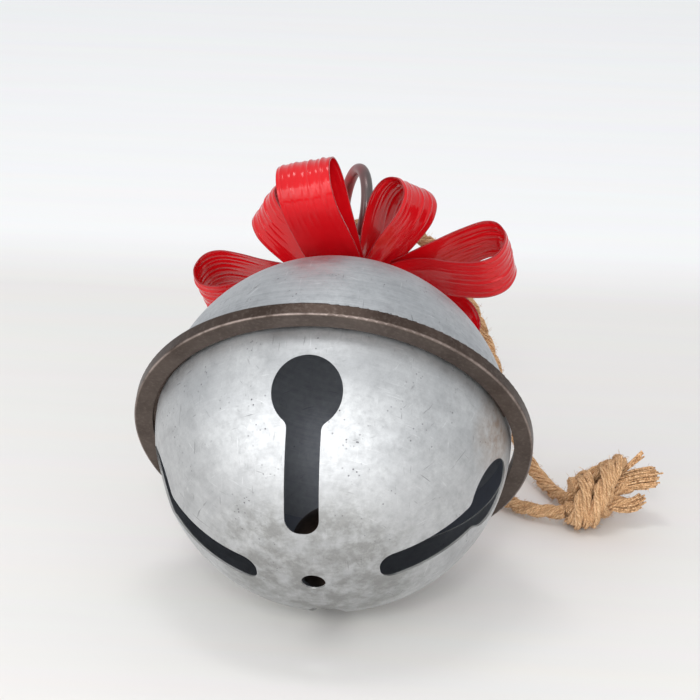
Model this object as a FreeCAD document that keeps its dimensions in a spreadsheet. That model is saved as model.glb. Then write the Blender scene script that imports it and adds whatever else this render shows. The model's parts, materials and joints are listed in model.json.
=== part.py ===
"""Large hollow jingle bell: two half shells, a rim hoop, a bow of steel ribbon, a hanging eye and a rope.

Millimetres. The shared frame has its origin on the floor straight below the centre of the shells, +Z up.
The bell lies on its lower shell and on the low edge of its hoop, so its own axis leans: the crown
points to +Y and up, the pole hole to -Y and down, and the axis lies in the YZ plane.

Everything on the bell is modelled about the bell's own axis: local +Z runs from the centre of the
shells to the crown, local +X is the shared +X. seat() then lays each piece down in the shared frame.
"""
import FreeCAD, Part
import math
import os
import Sketcher

V = FreeCAD.Vector
doc = FreeCAD.newDocument("jingle_bell")
sheet = doc.addObject("Spreadsheet::Sheet", "dims")

DIMENSIONS = [
    # alias, value, what it is
    ("shell_radius", 89.0, "outer radius of both half shells"),
    ("shell_sheet", 1.0, "thickness of the shell sheet"),
    ("lip_height", 5.0, "how far the lower shell's lip stands up inside the upper shell"),
    ("lip_depth", 10.0, "how far that lip reaches down inside the lower shell, where it is spot welded"),
    ("lip_play", 0.2, "radial play that lets the lip's straight wall enter the round upper shell"),
    ("slot_width", 16.8, "width of the four keyhole slots"),
    ("slot_head_radius", 17.2, "radius of the round head of a keyhole"),
    ("slot_head_angle", 66.4, "angle from the pole to the centre of a keyhole's head"),
    ("slot_corner", 7.4, "corner radius at the tip of a slot"),
    ("slot_neck", 5.0, "radius of the fillets where a slot meets its head"),
    ("pole_hole_radius", 5.9, "radius of the hole at the pole"),
    ("hoop_gap", 1.7, "gap between the shells and the hoop"),
    ("hoop_width", 9.3, "width of the hoop, from its inner to its outer face"),
    ("hoop_below", 3.6, "how far the hoop reaches from the seam towards the pole"),
    ("hoop_above", 3.9, "how far the hoop reaches from the seam towards the crown"),
    ("hoop_round", 1.2, "rounding of the hoop's worn outer edges"),
    ("weld_height", 3.0, "height of a weld between shell and hoop"),
    ("stud_radius", 3.0, "radius of the stud of the hanging eye"),
    ("stud_clearance", 0.3, "radial clearance of the holes that the stud passes through"),
    ("shank_radius", 4.2, "radius of the shank between collar and ring"),
    ("collar_radius", 8.0, "radius of the collar that clamps the bow"),
    ("collar_height", 3.0, "height of that collar"),
    ("collar_taper", 1.5, "how much smaller the collar's radius is at its top"),
    ("stud_tail", 2.0, "how far the stud stands out of its nut inside the bell"),
    ("ring_radius", 20.5, "centre-line radius of the hanging ring"),
    ("ring_rod", 3.1, "radius of the ring's rod"),
    ("shank_height", 33.0, "height from the collar's top to the centre line of the ring's rod"),
    ("ring_shift", -4.5, "sideways shift of the ring's centre"),
    ("ring_lean", -12.0, "sideways lean of the ring"),
    ("ring_turn", 20.0, "turn of the ring's plane about the bell's axis"),
    ("washer_radius", 12.0, "radius of the washer on the crown"),
    ("washer_height", 1.0, "thickness of the washer on the crown"),
    ("inner_washer_radius", 9.0, "radius of the washer inside the crown"),
    ("inner_washer_height", 1.5, "thickness of the washer inside the crown"),
    ("nut_flats", 10.0, "width across the nut's flats"),
    ("nut_height", 5.0, "height of the nut"),
    ("nut_chamfer", 30.0, "angle of the chamfer on the nut's corners"),
    ("ribbon_sheet", 0.8, "thickness of the bow's steel ribbon"),
    ("ribbon_width", 28.0, "width of the bow's ribbon"),
    ("ribbon_root", 9.0, "width of the ribbon where it is pinched at the clamp"),
    ("ribbon_fan", 40.0, "length over which the pinched ribbon opens to its full width"),
    ("tab_radius", 10.5, "radius of the round middle of the top ribbon strip"),
    ("tab_step", 2.5, "how much larger the round middle of each strip below it is"),
    ("loop_inset", 1.5, "how far inside the edge of that middle the two arms of a loop meet"),
    ("ball_radius", 22.0, "radius of the loose jingle ball"),
    ("ball_wall", 1.5, "wall of the hollow ball"),
    ("ball_gap", 0.4, "running gap between the ball and the lip"),
    ("rope_radius", 4.0, "radius of the rope"),
    ("knot_core", 10.4, "radius of the knot's core"),
    ("knot_turn", 11.2, "radius of the centre line of a turn of the knot"),
    ("knot_strand", 5.2, "radius of the strand in the knot, a little loose"),
]

# Each keyhole, in degrees: turn about the bell's axis, angle from the pole to the tip of its slot, and how
# far the slot swings off the line to the pole. They are cut by hand, so no two are alike.
KEYHOLES = {
    "front": (-92.6, 21.2, -2.2),
    "left": (-179.5, 18.4, 0.0),
    "right": (-3.5, 21.2, -3.0),
    "under": (-273.5, 21.2, 0.0),
}

# Each weld between hoop and shells: where it starts and how far it runs round the bell, in degrees.
HOOP_WELDS = [(-215, 75), (-28, 13), (-92, 5), (-280, 5)]

# Each loop: azimuth and rise in degrees, length, bulge radius, roll about its own length in degrees.
BOW_STRIPS = {
    "bow_strip_low": [(-105, 11.8, 71, 14, 5), (42, 15, 62, 13, 0)],
    "bow_strip_middle": [(-190, 8.6, 72.5, 12, 0), (-10, 13.7, 71.5, 13.5, 0)],
    "bow_strip_high": [(-150, 42.5, 59, 12, 0), (-52, 41.5, 57, 10, 0)],
}

# From the knot along the floor, up behind the bell, through the ring, down again and back to the knot.
ROPE_ROUTE = [
    (118, 101, 9), (110, 113, 4.8), (99, 133, 4.8), (86, 151, 14), (76, 159, 42), (66, 160, 71),
    (56, 158, 98), (41, 152, 130), (19, 140, 149), (-6, 128, 152), (-28, 132, 144), (-42, 145, 117),
    (-46, 163, 82), (-42, 176, 46), (-30, 184, 15), (-8, 182, 4.8), (22, 164, 4.8), (50, 134, 4.8),
    (77, 109, 4.8), (97, 93, 4.8), (114, 90, 8),
]
KNOT_CENTRE = V(131, 95, 17)
# Each turn of the knot: the normal of its plane and the shift of its centre from the knot's centre.
KNOT_TURNS = [(V(0.3, 1, 0.2), V()), (V(1, 0.25, -0.5), V(1, 2, -1)), (V(0.5, -0.6, 1), V(0, -1, 1))]
ROPE_ENDS = {
    "rope_end_upper": [(140, 96, 22), (148, 101, 27), (158, 106, 29)],
    "rope_end_lower": [(141, 92, 14), (148, 92, 12), (155, 94, 12)],
}
CUT_MARGIN = 1.2    # how far a cutting outline reaches past what it trims, as a factor
for row, (alias, value, note) in enumerate(DIMENSIONS, 1):
    sheet.set(f"A{row}", note)
    sheet.set(f"B{row}", str(value))
    sheet.setAlias(f"B{row}", alias)
doc.recompute()


class Size:
    """A length that keeps both its number and the sheet expression that gives it."""

    def __init__(self, number, text):
        self.number = number
        self.text = text

    def combine(self, sign, other, number):
        other_text = other.text if isinstance(other, Size) else repr(float(other))
        return Size(number, f"({self.text} {sign} {other_text})")

    def __add__(self, other):
        return self.combine("+", other, self.number + number_of(other))

    def __sub__(self, other):
        return self.combine("-", other, self.number - number_of(other))

    def __mul__(self, other):
        return self.combine("*", other, self.number * number_of(other))

    def __truediv__(self, other):
        return self.combine("/", other, self.number / number_of(other))


def number_of(size):
    return size.number if isinstance(size, Size) else float(size)


def cell(alias):
    return Size(float(sheet.get(alias)), f"dims.{alias}")


ZERO = Size(0.0, "0")
SHELL = cell("shell_radius")
SHELL_INNER = SHELL - cell("shell_sheet")
LIP_OUTER = SHELL_INNER - cell("lip_play")
LIP_INNER = LIP_OUTER - cell("shell_sheet")
HOOP_INNER = SHELL + cell("hoop_gap")
HOLE = cell("stud_radius") + cell("stud_clearance")
RIBBON = cell("ribbon_sheet")
# The washer on the crown rests on the edge of the crown's hole, a little below the shell's outer radius.
CROWN_SEAT = Size(math.sqrt(SHELL.number ** 2 - HOLE.number ** 2), f"sqrt({SHELL.text}^2 - {HOLE.text}^2)")
BOW_BASE = CROWN_SEAT + cell("washer_height")
COLLAR_BASE = BOW_BASE + RIBBON * len(BOW_STRIPS)
HOOP_OUTER = HOOP_INNER + cell("hoop_width")
SHANK_TOP = COLLAR_BASE + cell("collar_height") + cell("shank_height")
RING_CENTRE = SHANK_TOP + cell("ring_radius")

# The bell rests on the lower shell and on the hoop's lower outer corner: the tilt of its axis below
# the horizontal follows from those two touching the same floor.
hoop_corner = math.hypot(HOOP_OUTER.number, cell("hoop_below").number)
tilt = (math.degrees(math.acos(SHELL.number / hoop_corner))
        + math.degrees(math.atan(cell("hoop_below").number / HOOP_OUTER.number)))
BELL = FreeCAD.Placement(V(0, 0, SHELL.number), FreeCAD.Rotation(V(1, 0, 0), tilt - 90))


def turn(degrees):
    return FreeCAD.Placement(V(), FreeCAD.Rotation(V(0, 0, 1), degrees))


def at(x, y, z):
    return FreeCAD.Placement(V(x, y, z), FreeCAD.Rotation())


def bind(thing, **sizes):
    """Bind properties of an object to sizes from the sheet."""
    for prop, size in sizes.items():
        setattr(thing, prop, number_of(size))
        if isinstance(size, Size):
            thing.setExpression(prop, size.text)
    return thing


def primitive(kind, name, place=None, **sizes):
    thing = bind(doc.addObject(f"Part::{kind}", name), **sizes)
    if place:
        thing.Placement = place
    return thing


def combine(kind, name, base, tool):
    thing = doc.addObject(f"Part::{kind}", name)
    thing.Base = base
    thing.Tool = tool
    return thing


sub_parts = []


def seat(thing, label, place=BELL):
    """Name a finished sub-part and lay it down in the shared frame."""
    thing.Label = label
    thing.Placement = place
    sub_parts.append(thing)
    return thing


# ---- sketches -----------------------------------------------------------------------------------

def new_body(name):
    return doc.addObject("PartDesign::Body", name)


def origin_feature(body, role):
    return next(item for item in body.Origin.OriginFeatures if item.Role == role)


def new_sketch(body, name, role, offset=None):
    sketch = body.newObject("Sketcher::SketchObject", name)
    sketch.AttachmentSupport = (origin_feature(body, role), "")
    sketch.MapMode = "FlatFace"
    if offset:
        sketch.AttachmentOffset = offset
    return sketch


def constrain(sketch, kind, where, size, name):
    """Add one dimension and bind it to the sheet."""
    index = sketch.addConstraint(Sketcher.Constraint(kind, *where, number_of(size)))
    sketch.renameConstraint(index, name)
    sketch.setExpression(f"Constraints.{name}", size.text)


def pin(sketch, edge, end, x, y, name):
    """Fix one end of an edge at (x, y) from the sketch's origin."""
    for axis, size in (("X", x), ("Y", y)):
        if size is ZERO:
            other = -2 if axis == "X" else -1
            sketch.addConstraint(Sketcher.Constraint("PointOnObject", edge, end, other))
        else:
            constrain(sketch, f"Distance{axis}", (-1, 1, edge, end), size, f"{name}_{axis.lower()}")


def polygon(sketch, corners, name="corner"):
    """Closed outline of straight edges through the given corners, each bound to the sheet."""
    first = sketch.GeometryCount
    points = [V(number_of(x), number_of(y), 0) for x, y in corners]
    count = len(points)
    for i in range(count):
        sketch.addGeometry(Part.LineSegment(points[i], points[(i + 1) % count]), False)
    for i in range(count):
        sketch.addConstraint(Sketcher.Constraint("Coincident", first + i, 2, first + (i + 1) % count, 1))
    for i, (x, y) in enumerate(corners):
        pin(sketch, first + i, 1, x, y, f"{name}{first + i}")


def circle(sketch, x, y, radius, name):
    outline = Part.Circle(V(number_of(x), number_of(y), 0), V(0, 0, 1), number_of(radius))
    index = sketch.addGeometry(outline, False)
    pin(sketch, index, 3, x, y, name)
    constrain(sketch, "Radius", (index,), radius, f"{name}_radius")


def extrude(body, kind, sketch, name, length, both_ways=False):
    """Pad or Pocket, straight or half to each side of its sketch."""
    feature = body.newObject(f"PartDesign::{kind}", name)
    feature.Profile = sketch
    feature.Type = "Length"
    if both_ways:
        feature.SideType = "Symmetric"
    return bind(feature, Length=length)


def revolve(body, sketch, name):
    feature = body.newObject("PartDesign::Revolution", name)
    feature.Profile = sketch
    feature.ReferenceAxis = (sketch, ["V_Axis"])
    feature.Angle = 360
    return feature


def ring_of_revolution(name, corners):
    """Body of revolution about local Z with a polygonal section, given as (radius, height) corners."""
    body = new_body(name)
    sketch = new_sketch(body, f"{name}_section", "XZ_Plane")
    polygon(sketch, corners)
    revolve(body, sketch, f"{name}_turned")
    return body


# ---- shells -------------------------------------------------------------------------------------

def half_shell(name, upper):
    """Hemisphere of sheet: a quarter ring turned about the bell's axis."""
    body = new_body(name)
    sketch = new_sketch(body, f"{name}_section", "XZ_Plane")
    start, end = (0, math.pi / 2) if upper else (-math.pi / 2, 0)
    equator, pole = (1, 2) if upper else (2, 1)
    for radius in (SHELL, SHELL_INNER):
        full = Part.Circle(V(), V(0, 0, 1), radius.number)
        sketch.addGeometry(Part.ArcOfCircle(full, start, end), False)
    side = 1 if upper else -1
    outer, inner = SHELL.number, SHELL_INNER.number
    sketch.addGeometry(Part.LineSegment(V(inner, 0, 0), V(outer, 0, 0)), False)
    sketch.addGeometry(Part.LineSegment(V(0, side * outer, 0), V(0, side * inner, 0)), False)
    sketch.addConstraint([
        Sketcher.Constraint("Coincident", 0, 3, -1, 1),
        Sketcher.Constraint("Coincident", 1, 3, -1, 1),
        Sketcher.Constraint("PointOnObject", 0, equator, -1),
        Sketcher.Constraint("PointOnObject", 1, equator, -1),
        Sketcher.Constraint("PointOnObject", 0, pole, -2),
        Sketcher.Constraint("PointOnObject", 1, pole, -2),
        Sketcher.Constraint("Coincident", 2, 1, 1, equator),
        Sketcher.Constraint("Coincident", 2, 2, 0, equator),
        Sketcher.Constraint("Coincident", 3, 1, 0, pole),
        Sketcher.Constraint("Coincident", 3, 2, 1, pole),
    ])
    constrain(sketch, "Radius", (0,), SHELL, "outer")
    constrain(sketch, "Radius", (1,), SHELL_INNER, "inner")
    revolve(body, sketch, f"{name}_turned")
    return body


def upper_shell():
    body = half_shell("upper_body", True)
    sketch = new_sketch(body, "crown_hole", "XY_Plane")
    circle(sketch, ZERO, ZERO, HOLE, "crown")
    hole = extrude(body, "Pocket", sketch, "crown_hole_cut", SHELL + SHELL)
    hole.Reversed = True
    seat(body, "upper_shell")


def keyhole(body, name, azimuth, tip_angle, swing):
    """Cut one keyhole square to the sheet: a round head, filleted into a slot with a rounded tip."""
    head = math.radians(cell("slot_head_angle").number)
    tip = math.radians(tip_angle)
    radius = SHELL.number
    round_radius = cell("slot_head_radius").number
    half = cell("slot_width").number / 2
    corner = cell("slot_corner").number
    neck = cell("slot_neck").number
    middle = (head + round_radius / radius + tip) / 2
    # Along the sketch's X axis, from the head near the seam to the tip near the pole.
    head_x = -radius * math.sin(head - middle)
    tip_x = radius * math.sin(middle - tip)
    away = FreeCAD.Rotation(V(0, 1, 0), 180 - math.degrees(middle))
    plane = turn(azimuth) * FreeCAD.Placement(away.multVec(V(0, 0, radius)), away)
    plane = plane * at(head_x, 0, 0) * turn(swing) * at(-head_x, 0, 0)
    sketch = new_sketch(body, f"keyhole_{name}", "XY_Plane", plane)
    spread = math.acos(math.sqrt(1 - ((half + neck) / (round_radius + neck)) ** 2))
    neck_x = head_x + (round_radius + neck) * math.cos(spread)

    def arc(x, y, size, start, end):
        return Part.ArcOfCircle(Part.Circle(V(x, y, 0), V(0, 0, 1), size), start, end)

    for edge in (
        arc(head_x, 0, round_radius, spread, 2 * math.pi - spread),
        arc(neck_x, -half - neck, neck, math.pi / 2, math.pi - spread),
        Part.LineSegment(V(neck_x, -half, 0), V(tip_x - corner, -half, 0)),
        arc(tip_x - corner, -half + corner, corner, -math.pi / 2, 0),
        Part.LineSegment(V(tip_x, -half + corner, 0), V(tip_x, half - corner, 0)),
        arc(tip_x - corner, half - corner, corner, 0, math.pi / 2),
        Part.LineSegment(V(tip_x - corner, half, 0), V(neck_x, half, 0)),
        arc(neck_x, half + neck, neck, math.pi + spread, 1.5 * math.pi),
    ):
        index = sketch.addGeometry(edge, False)
        sketch.addConstraint(Sketcher.Constraint("Block", index))
    extrude(body, "Pocket", sketch, f"keyhole_cut_{name}", SHELL)


def lower_shell():
    """Lower shell with its lip, four keyholes and the pole hole."""
    body = half_shell("lower_body", False)
    lip = new_sketch(body, "lip_ring", "XY_Plane", at(0, 0, -cell("lip_depth").number))
    circle(lip, ZERO, ZERO, LIP_OUTER, "lip_outer")
    circle(lip, ZERO, ZERO, LIP_INNER, "lip_inner")
    extrude(body, "Pad", lip, "lip", cell("lip_depth") + cell("lip_height"))
    for name, (azimuth, tip_angle, swing) in KEYHOLES.items():
        keyhole(body, name, azimuth, tip_angle, swing)
    pole = new_sketch(body, "pole_hole", "XY_Plane")
    circle(pole, ZERO, ZERO, cell("pole_hole_radius"), "pole")
    extrude(body, "Pocket", pole, "pole_hole_cut", SHELL + SHELL)
    seat(body, "lower_shell")


# ---- rim hoop -----------------------------------------------------------------------------------

def rim_hoop():
    low = ZERO - cell("hoop_below")
    high = cell("hoop_above")
    corners = [(HOOP_INNER, low), (HOOP_OUTER, low), (HOOP_OUTER, high), (HOOP_INNER, high)]
    body = ring_of_revolution("hoop_body", corners)
    doc.recompute()
    turned = body.Tip
    worn = [f"Edge{i}" for i, edge in enumerate(body.Shape.Edges, 1)
            if abs(edge.BoundBox.XMax - HOOP_OUTER.number) < 0.01 and abs(edge.BoundBox.ZLength) < 0.01]
    rounding = body.newObject("PartDesign::Fillet", "worn_edges")
    rounding.Base = (turned, worn)
    bind(rounding, Radius=cell("hoop_round"))
    seat(body, "rim_hoop")


def hoop_welds():
    """Four welds that fill the gap between the shells and the hoop, each over its own stretch."""
    half = cell("weld_height") / 2
    for index, (start, angle) in enumerate(HOOP_WELDS):
        block = primitive("Cylinder", f"weld_block_{index}", at(0, 0, -half.number), Radius=HOOP_INNER,
                          Height=cell("weld_height"), Angle=angle)
        ball = primitive("Sphere", f"weld_shell_{index}", Radius=SHELL)
        weld = combine("Cut", f"weld_cut_{index}", block, ball)
        seat(weld, f"hoop_weld_{index + 1}", BELL * turn(start))


# ---- hanging eye --------------------------------------------------------------------------------

def ring_place():
    lean = FreeCAD.Rotation(V(0, 1, 0), cell("ring_lean").number)
    upright = FreeCAD.Rotation(V(0, 0, 1), cell("ring_turn").number) * FreeCAD.Rotation(V(0, 1, 0), 90)
    return FreeCAD.Placement(V(cell("ring_shift").number, 0, RING_CENTRE.number), lean * upright)


def hanging_ring():
    ring = primitive("Torus", "ring_torus", Radius1=cell("ring_radius"), Radius2=cell("ring_rod"))
    seat(ring, "hanging_ring", BELL * ring_place())


def washer_inside():
    """Height of the top of the inner washer: its rim touches the inside of the crown."""
    return math.sqrt(SHELL_INNER.number ** 2 - cell("inner_washer_radius").number ** 2)


def eye_stud():
    """Stud with its collar, bent shank and saddle: it is cut to the ring that is welded on it."""
    tail = (washer_inside() - cell("inner_washer_height").number - cell("nut_height").number
            - cell("stud_tail").number)
    stud = primitive("Cylinder", "stud_rod", at(0, 0, tail), Radius=cell("stud_radius"))
    stud.Height = COLLAR_BASE.number - tail
    collar = primitive("Cone", "stud_collar", at(0, 0, COLLAR_BASE.number), Radius1=cell("collar_radius"),
                       Radius2=cell("collar_radius") - cell("collar_taper"), Height=cell("collar_height"))
    shank = primitive("Cylinder", "stud_shank", at(0, 0, COLLAR_BASE.number), Radius=cell("shank_radius"))
    shank.Height = SHANK_TOP.number - COLLAR_BASE.number
    joined = doc.addObject("Part::MultiFuse", "stud_joined")
    joined.Shapes = [stud, collar, shank]
    ring = primitive("Torus", "saddle_torus", ring_place(),
                     Radius1=cell("ring_radius"), Radius2=cell("ring_rod"))
    seat(combine("Cut", "stud_saddled", joined, ring), "eye_stud")


def plain_washer(name, radius, bottom, height):
    body = new_body(f"{name}_body")
    sketch = new_sketch(body, f"{name}_outline", "XY_Plane")
    circle(sketch, ZERO, ZERO, radius, "rim")
    circle(sketch, ZERO, ZERO, HOLE, "bore")
    extrude(body, "Pad", sketch, f"{name}_pad", height)
    seat(body, name, BELL * at(0, 0, bottom))


def hex_nut():
    height = cell("nut_height")
    across = cell("nut_flats").number
    bottom = washer_inside() - cell("inner_washer_height").number - height.number
    block = primitive("Prism", "nut_block", Height=height)
    block.Polygon = 6
    block.setExpression("Circumradius", f"{cell('nut_flats').text} / sqrt(3)")
    bore = primitive("Cylinder", "nut_bore", Radius=cell("stud_radius"), Height=height)
    cone = primitive("Cone", "nut_chamfer", Radius1=cell("nut_flats") / 2, Height=height)
    cone.Radius2 = across / 2 + height.number / math.tan(math.radians(cell("nut_chamfer").number))
    eased = combine("Common", "nut_eased", block, cone)
    seat(combine("Cut", "nut_cut", eased, bore), "hex_nut", BELL * at(0, 0, bottom))


# ---- bow ----------------------------------------------------------------------------------------

def teardrop(sketch, apex, centre, radius, name):
    """Two straight arms that leave one apex and close round an arc, all tangent."""
    gap = centre.number - apex.number
    half = math.asin(radius.number / gap)
    arm = math.sqrt(gap ** 2 - radius.number ** 2)
    root = V(apex.number, 0, 0)
    high = root + V(arm * math.cos(half), arm * math.sin(half), 0)
    low = root + V(arm * math.cos(half), -arm * math.sin(half), 0)
    full = Part.Circle(V(centre.number, 0, 0), V(0, 0, 1), radius.number)
    first = sketch.GeometryCount
    sketch.addGeometry(Part.LineSegment(root, high), False)
    sketch.addGeometry(Part.ArcOfCircle(full, -math.pi / 2 - half, math.pi / 2 + half), False)
    sketch.addGeometry(Part.LineSegment(low, root), False)
    sketch.addConstraint([
        Sketcher.Constraint("Tangent", first, 2, first + 1, 2),
        Sketcher.Constraint("Tangent", first + 1, 1, first + 2, 1),
        Sketcher.Constraint("Coincident", first + 2, 2, first, 1),
    ])
    pin(sketch, first + 1, 3, centre, ZERO, f"{name}_centre")
    pin(sketch, first, 1, apex, ZERO, f"{name}_apex")
    constrain(sketch, "Radius", (first + 1,), radius, f"{name}_radius")


def bow_loop(name, start, azimuth, rise, length, bulge, roll):
    """One loop of ribbon, pinched at its root: azimuth about the axis, rise above the crown plane."""
    body = new_body(name)
    profile = new_sketch(body, f"{name}_profile", "XZ_Plane")
    bulge = Size(bulge, repr(float(bulge)))
    centre = Size(length - bulge.number, repr(length - bulge.number))
    teardrop(profile, ZERO, centre, bulge, "outside")
    teardrop(profile, RIBBON * centre / bulge, centre, bulge - RIBBON, "inside")
    extrude(body, "Pad", profile, f"{name}_ribbon", cell("ribbon_width"), True)
    plan = new_sketch(body, f"{name}_pinch", "XY_Plane")
    half = cell("ribbon_width") / 2
    root = cell("ribbon_root") / 2
    fan = cell("ribbon_fan")
    behind = ZERO - cell("tab_radius")
    for side in (1, -1):
        corners = [(behind, root * side), (ZERO, root * side), (fan, half * side),
                   (fan, half * (CUT_MARGIN * side)), (behind, half * (CUT_MARGIN * side))]
        polygon(plan, corners, "pinch")
    extrude(body, "Pocket", plan, f"{name}_pinched", bulge * 4, True)
    raised = FreeCAD.Placement(V(), FreeCAD.Rotation(V(0, 1, 0), -rise) * FreeCAD.Rotation(V(1, 0, 0), roll))
    body.Placement = turn(azimuth) * at(start.number, 0, RIBBON.number / 2) * raised
    return body


def bow_strip(name, layer, loops):
    """One strip of ribbon: a round middle clamped on the stud, and a loop to each side."""
    bottom = BOW_BASE + RIBBON * layer
    middle = cell("tab_radius") + cell("tab_step") * (len(BOW_STRIPS) - 1 - layer)
    start = middle - cell("loop_inset")
    pieces = [primitive("Cylinder", f"{name}_middle", Radius=middle, Height=RIBBON)]
    pieces += [bow_loop(f"{name}_loop_{index}", start, *loop) for index, loop in enumerate(loops)]
    joined = doc.addObject("Part::MultiFuse", f"{name}_joined")
    joined.Shapes = pieces
    bore = primitive("Cylinder", f"{name}_bore", at(0, 0, -RIBBON.number), Radius=HOLE, Height=RIBBON * 4)
    seat(combine("Cut", f"{name}_cut", joined, bore), name, BELL * at(0, 0, bottom.number))


# ---- ball ---------------------------------------------------------------------------------------

def jingle_ball():
    """Loose hollow ball, too big for the keyholes, low in the bell on a path that clears the lip."""
    radius = cell("ball_radius")
    drop = LIP_INNER - radius - cell("ball_gap")
    skin = primitive("Sphere", "ball_skin", Radius=radius)
    hollow = primitive("Sphere", "ball_hollow", Radius=radius - cell("ball_wall"))
    seat(combine("Cut", "ball_cut", skin, hollow), "jingle_ball", at(0, 0, SHELL.number - drop.number))


# ---- rope ---------------------------------------------------------------------------------------

def rope_wire(points):
    """Straight runs joined by tangent arcs, each arc as large as its two runs allow."""
    points = [V(*p) for p in points]
    edges = []
    radii = []
    here = points[0]
    for before, corner, after in zip(points, points[1:], points[2:]):
        back = before - corner
        ahead = after - corner
        run = min(back.Length, ahead.Length)
        back.normalize()
        ahead.normalize()
        bend = math.pi - back.getAngle(ahead)
        radius = 0.45 * run / math.tan(bend / 2)
        start = corner + back * (0.45 * run)
        end = corner + ahead * (0.45 * run)
        inward = back + ahead
        inward.normalize()
        middle = corner + inward * (math.hypot(radius, 0.45 * run) - radius)
        edges.append(Part.LineSegment(here, start).toShape())
        edges.append(Part.Arc(start, middle, end).toShape())
        radii.append(radius)
        here = end
    edges.append(Part.LineSegment(here, points[-1]).toShape())
    print("rope arc radii", [round(radius, 1) for radius in radii])
    return Part.Wire(edges)


def tube(points, radius):
    wire = rope_wire(points)
    first = V(*points[0])
    section = Part.Wire(Part.Circle(first, V(*points[1]) - first, radius).toShape())
    solid = wire.makePipeShell([section], True, False)
    print("length", round(wire.Length, 1), "volume over section times length",
          round(solid.Volume / (math.pi * radius ** 2 * wire.Length), 4))
    return solid


def free_shape(label, shape):
    thing = doc.addObject("Part::Feature", label)
    thing.Shape = shape
    thing.Label = label
    sub_parts.append(thing)


def rope_pieces():
    radius = cell("rope_radius").number
    # The knot: three lapped turns round a core, a little thicker than the rope where they are tied.
    knot = Part.makeSphere(cell("knot_core").number, KNOT_CENTRE)
    for axis, shift in KNOT_TURNS:
        lap = Part.makeTorus(cell("knot_turn").number, cell("knot_strand").number, KNOT_CENTRE + shift, axis)
        knot = knot.fuse(lap)
    end_shapes = {name: tube(points, radius).cut(knot) for name, points in ROPE_ENDS.items()}
    free_shape("rope_loop", tube(ROPE_ROUTE, radius).cut(knot))
    free_shape("rope_knot", knot.removeSplitter())
    for name, shape in end_shapes.items():
        free_shape(name, shape)


# ---- build and write ----------------------------------------------------------------------------

upper_shell()
lower_shell()
rim_hoop()
hoop_welds()
hanging_ring()
eye_stud()
plain_washer("crown_washer", cell("washer_radius"), CROWN_SEAT.number, cell("washer_height"))
plain_washer("inner_washer", cell("inner_washer_radius"),
             washer_inside() - cell("inner_washer_height").number, cell("inner_washer_height"))
hex_nut()
for layer, (name, loops) in enumerate(BOW_STRIPS.items()):
    bow_strip(name, layer, loops)
jingle_ball()
rope_pieces()
doc.recompute()

broken = [item.Label for item in doc.Objects if "Invalid" in item.State or "Error" in item.State]
if broken:
    raise SystemExit(f"failed features: {broken}")
os.makedirs("parts", exist_ok=True)
for item in sub_parts:
    shape = item.Shape
    if shape.isNull() or not shape.isValid():
        raise SystemExit(f"bad shape: {item.Label}")
    box = shape.BoundBox
    heights = f"z {box.ZMin:7.2f} {box.ZMax:7.2f}"
    print(f"{item.Label:18s} {len(shape.Solids)} solid(s) {shape.Volume:10.0f} mm3  {heights}")
    shape.exportStep(os.path.join("parts", f"{item.Label}.step"))
print(f"{len(sub_parts)} sub-parts, tilt {tilt:.2f} degrees")
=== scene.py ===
# %% [markdown]
# # A big jingle bell, piece by piece
# The bell is two pressed half shells of galvanised sheet, closed round the middle by a bronzed hoop. A bow of
# red enamelled ribbon sits under a hanging ring, and a jute rope goes through the ring and ends in a knot.
# The measured frame comes first: every piece below takes its place from it, so they agree with the measured part.

# %% Load the measured frame
import json
import math
import random

import bmesh
import bpy
from mathutils import Matrix, Vector, noise


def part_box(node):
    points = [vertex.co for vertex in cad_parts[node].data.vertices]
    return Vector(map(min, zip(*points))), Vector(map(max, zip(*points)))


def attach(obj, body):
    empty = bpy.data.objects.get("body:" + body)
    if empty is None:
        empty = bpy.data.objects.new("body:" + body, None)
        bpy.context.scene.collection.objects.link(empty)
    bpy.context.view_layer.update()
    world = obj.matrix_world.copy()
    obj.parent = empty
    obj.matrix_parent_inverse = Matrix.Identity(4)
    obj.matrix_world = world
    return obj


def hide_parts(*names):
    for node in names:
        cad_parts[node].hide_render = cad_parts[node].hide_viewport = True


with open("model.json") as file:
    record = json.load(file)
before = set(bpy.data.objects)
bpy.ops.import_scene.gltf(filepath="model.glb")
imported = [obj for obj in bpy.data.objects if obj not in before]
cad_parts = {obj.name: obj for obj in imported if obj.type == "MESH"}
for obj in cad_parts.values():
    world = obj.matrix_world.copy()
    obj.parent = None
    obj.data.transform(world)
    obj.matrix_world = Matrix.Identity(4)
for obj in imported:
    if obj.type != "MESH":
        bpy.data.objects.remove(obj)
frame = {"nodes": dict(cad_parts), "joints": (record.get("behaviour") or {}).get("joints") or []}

scene = bpy.context.scene
nodes = frame["nodes"]
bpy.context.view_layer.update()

# %% [markdown]
# The bell lies on its side, so a shape that is simple about the bell's own axis looks crooked in the shared
# frame. One matrix, `BELL`, turns positions on the bell (Z runs from the centre to the crown) into shared ones.
# The centre is the ball's joint, and the washer on the crown shows which way the axis points.

# %% The bell's own axes
centre = Vector(frame["joints"][0]["pos_m"])
washer_low, washer_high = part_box("crown_washer")
crown = ((washer_low + washer_high) / 2 - centre).normalized()
side = Vector((1, 0, 0))
BELL = Matrix.Translation(centre) @ Matrix((side, crown.cross(side), crown)).transposed().to_4x4()
LEAN = math.pi / 2 - math.asin(crown.z)     # how far the axis leans away from upright
SHELL = centre.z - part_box("lower_shell")[0].z
print("axis leans", round(math.degrees(LEAN), 1), "degrees, shell radius", round(1000 * SHELL, 1), "mm")
MM = 0.001      # the shapes below are written in millimetres

# %% [markdown]
# ## Camera, floor and light
# A long lens from well above keeps the round bell round. The floor is one plain pale sheet, a little paler
# towards the back, with nothing standing on it, so that the bell can be looked at from every side. The light is
# a white room and a few soft lamps: metal mostly shows what it reflects, so the room matters as much as they do.

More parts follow.
